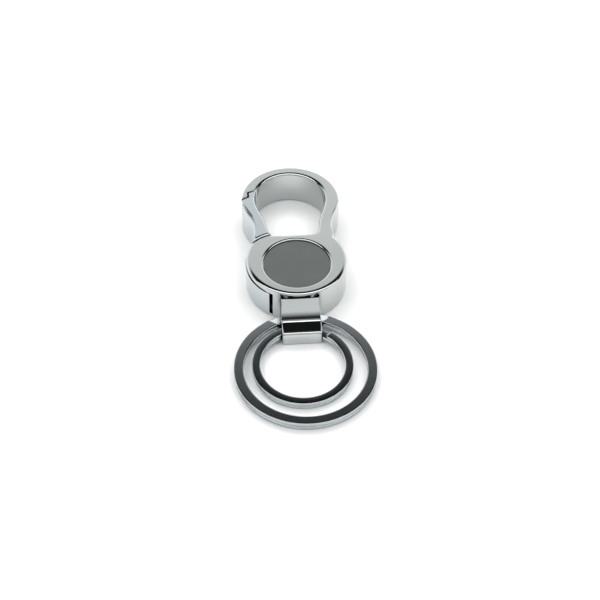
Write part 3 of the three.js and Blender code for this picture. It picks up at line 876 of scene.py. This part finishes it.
def wire_section(half_width, half_height):
    """Section of the flat wire, (across, up), with rounded corners that are broader than high."""
    across, up = WIRE_CORNER["across"], WIRE_CORNER["up"]
    points = []
    for start, side_x, side_y in ((0, 1, 1), (90, -1, 1), (180, -1, -1), (270, 1, -1)):
        for i in range(CORNER_STEPS + 1):
            angle = math.radians(start + 90 * i / CORNER_STEPS)
            x = side_x * (half_width - across) + across * math.cos(angle)
            y = side_y * (half_height - up) + up * math.sin(angle)
            points.append((x, y))
    return np.array(points)


def make_split_ring(ring, name, body, node):
    """Two turns of flat wire, one on the other, that change level on the way round."""
    half_width = (ring["r"] - ring["bore"]) / 2
    half_height = (ring["thick"] - TURN_GAP) / 4
    middle_r = (ring["r"] + ring["bore"]) / 2
    section = wire_section(half_width, half_height)
    tip = WIRE_END["length"]
    degree = middle_r * math.radians(1)
    tips = [tip * (1 - math.cos(angle)) / degree for angle in quarter_turn(TIP_STEPS)[:-1]]
    between = list(np.linspace(tip / degree, ring["sweep"] - tip / degree, TURN_STEPS))
    stations = tips + between + [ring["sweep"] - t for t in reversed(tips)]
    half_ramp = (720 - ring["sweep"]) / 2 - 1
    rings = []
    for turned_by in stations:
        angle = math.radians(ring["end"] - ring["sweep"] + turned_by)
        rise = smoothstep(turned_by, ring["sweep"] / 2 - half_ramp, ring["sweep"] / 2 + half_ramp)
        z = half_height + (ring["thick"] - 2 * half_height) * rise
        to_end = min(turned_by, ring["sweep"] - turned_by) * degree
        short = max(0.0, 1 - to_end / tip)
        full = math.sqrt(1 - short**2)
        r = middle_r + section[:, 0] * (WIRE_END["across"] + (1 - WIRE_END["across"]) * full)
        v = section[:, 1] * (WIRE_END["up"] + (1 - WIRE_END["up"]) * full)
        rings.append(np.stack([r * math.cos(angle), r * math.sin(angle), z + v], axis=1))
    piece = loft(name, rings)
    piece.data.transform(ring_matrix(ring))
    return finish_piece(piece, name, body, RING_CHROME, "ring_chrome", node, flat_faces=False)


# ---------------------------------------------------------------- stage


FLOOR_HALF = 3  # metres
FLOOR_DROP = 0.00002  # below the object, so that their faces don't coincide


def make_floor():
    """A plain pale floor, just under the object."""
    half = FLOOR_HALF
    corners = [(-half, -half, 0), (half, -half, 0), (half, half, 0), (-half, half, 0)]
    floor = add_object("floor", corners, [(0, 1, 2, 3)])
    nodes = Nodes("floor")
    colour = nodes.ramp(nodes.noise(3, detail=2), (0.3, (0.93, 0.93, 0.93)), (0.7, (0.95, 0.95, 0.95)))
    floor.data.materials.append(nodes.finish(Base_Color=colour, Roughness=0.9, Metallic=0.0))
    floor.location.z = CAD_BOX[0][2] - FLOOR_DROP


# Brightness of the studio by pitch, the angle from the rear horizon over the top to the front one.
# A white backdrop ends at about 47 degrees. The ceiling is dark, with one bright strip from 102 to
# 118 degrees, and the front is paler.
STUDIO = (
    (-180, 0.25),
    (-150, 0.7),
    (-20, 1.4),
    (12, 1.45),
    (34, 0.95),
    (45, 0.83),
    (47.5, 0.62),
    (50.5, 0.24),
    (52.5, 0.11),
    (54.5, 0.045),
    (58, 0.012),
    (97, 0.012),
    (102, 2.6),
    (118, 2.6),
    (124, 0.03),
    (131, 0.03),
    (140, 0.84),
    (152, 0.88),
    (166, 0.6),
    (180, 0.3),
)

TENT_TINT = (0.985, 0.998, 1.0)
TENT_STRENGTH = 1.12  # as the metal mirrors it
TENT_FILL = 0.2  # as it lights the floor, which the softboxes light the rest of the way


def make_world():
    """The studio round the object. The camera itself sees a plain white background."""
    world = bpy.data.worlds.new("studio")
    bpy.context.scene.world = world
    world.use_nodes = True
    tree = world.node_tree
    nodes, links = tree.nodes, tree.links
    nodes.clear()
    direction = nodes.new("ShaderNodeTexCoord").outputs["Generated"]
    split = nodes.new("ShaderNodeSeparateXYZ")
    links.new(direction, split.inputs[0])
    pitch = nodes.new("ShaderNodeMath")
    pitch.operation = "ARCTAN2"
    links.new(split.outputs["Z"], pitch.inputs[0])
    links.new(split.outputs["Y"], pitch.inputs[1])
    turn = nodes.new("ShaderNodeMapRange")
    turn.inputs["From Min"].default_value = -math.pi
    turn.inputs["From Max"].default_value = math.pi
    links.new(pitch.outputs[0], turn.inputs["Value"])
    ramp = nodes.new("ShaderNodeValToRGB")
    links.new(turn.outputs["Result"], ramp.inputs["Fac"])
    elements = ramp.color_ramp.elements
    while len(elements) < len(STUDIO):
        elements.new(0.5)
    for element, (angle, level) in zip(elements, STUDIO):
        element.position = angle / 360 + 0.5
        element.color = (*(level * part for part in TENT_TINT), 1)
    tent = nodes.new("ShaderNodeBackground")
    links.new(ramp.outputs["Color"], tent.inputs["Color"])
    plain = nodes.new("ShaderNodeBackground")
    plain.inputs["Color"].default_value = (1, 1, 1, 1)
    path = nodes.new("ShaderNodeLightPath")
    fill = nodes.new("ShaderNodeMapRange")
    fill.inputs["To Min"].default_value = TENT_STRENGTH
    fill.inputs["To Max"].default_value = TENT_FILL
    links.new(path.outputs["Is Diffuse Ray"], fill.inputs["Value"])
    links.new(fill.outputs["Result"], tent.inputs["Strength"])
    choose = nodes.new("ShaderNodeMixShader")
    links.new(path.outputs["Is Camera Ray"], choose.inputs["Fac"])
    links.new(tent.outputs[0], choose.inputs[1])
    links.new(plain.outputs[0], choose.inputs[2])
    output = nodes.new("ShaderNodeOutputWorld")
    links.new(choose.outputs[0], output.inputs["Surface"])


SOFTBOX_DISTANCE = 0.8  # metres


def towards(azimuth, elevation):
    """A direction from the object, by angles in radians. Azimuth is 0 in front, positive to the right."""
    level = math.cos(elevation)
    return Vector((math.sin(azimuth) * level, -math.cos(azimuth) * level, math.sin(elevation)))


def make_softbox(name, azimuth, elevation, width, height, radiance):
    """A soft light for the floor, which the metal doesn't mirror. Its angles are in degrees."""
    away = towards(math.radians(azimuth), math.radians(elevation))
    light = bpy.data.lights.new(name, "AREA")
    light.shape = "RECTANGLE"
    light.size = width
    light.size_y = height
    light.energy = radiance * width * height * math.pi
    softbox = bpy.data.objects.new(name, light)
    facing = away.to_track_quat("Z", "Y").to_matrix().to_4x4()
    softbox.matrix_world = Matrix.Translation(away * SOFTBOX_DISTANCE) @ facing
    softbox.visible_camera = False
    softbox.visible_glossy = False
    bpy.context.scene.collection.objects.link(softbox)


def make_camera():
    """A long lens, high in front of the rings and a little to the left."""
    azimuth = math.radians(-5.08)
    elevation = math.radians(46.19)
    roll = math.radians(0.93)
    distance = 0.34418
    target = Vector((0.00057, 0.00067, 0))
    back = towards(azimuth, elevation)
    right = Vector((math.cos(azimuth), math.sin(azimuth), 0))
    up = back.cross(right)
    across = right * math.cos(roll) + up * math.sin(roll)
    upward = up * math.cos(roll) - right * math.sin(roll)
    lens = bpy.data.cameras.new("camera")
    lens.sensor_width = 36
    lens.lens = 80.28
    lens.clip_start = 0.01
    lens.clip_end = 20
    camera = bpy.data.objects.new("camera", lens)
    bpy.context.scene.collection.objects.link(camera)
    axes = Matrix((across, upward, back)).transposed().to_4x4()
    camera.matrix_world = Matrix.Translation(target + back * distance) @ axes
    bpy.context.scene.camera = camera


# ---------------------------------------------------------------- the object

finish_cad_nodes()
make_hook_frame()
make_gate()
make_back_cover()
make_inlay("front_inlay", front_low.z, front_high.z, INLAY_Y, INLAY_R, HIDDEN_EDGE, SEEN_EDGE)
make_inlay("back_inlay", back_low.z, back_high.z, BACK_INLAY_Y, BACK_INLAY_R, SEEN_EDGE, HIDDEN_EDGE)
make_saddle()
make_split_ring(LARGE, "large_ring_wire", "large_ring", "large_split_ring")
make_split_ring(SMALL, "small_ring_wire", "small_ring", "small_split_ring")

make_floor()
make_world()
make_softbox("softbox_left", -82, 60, width=0.8, height=0.5, radiance=2.2)
make_softbox("softbox_right", 82, 60, width=0.8, height=0.5, radiance=2.0)
make_softbox("softbox_rear", 180, 54, width=1.2, height=0.3, radiance=4.6)
make_camera()
bpy.context.scene.view_settings.view_transform = "Standard"
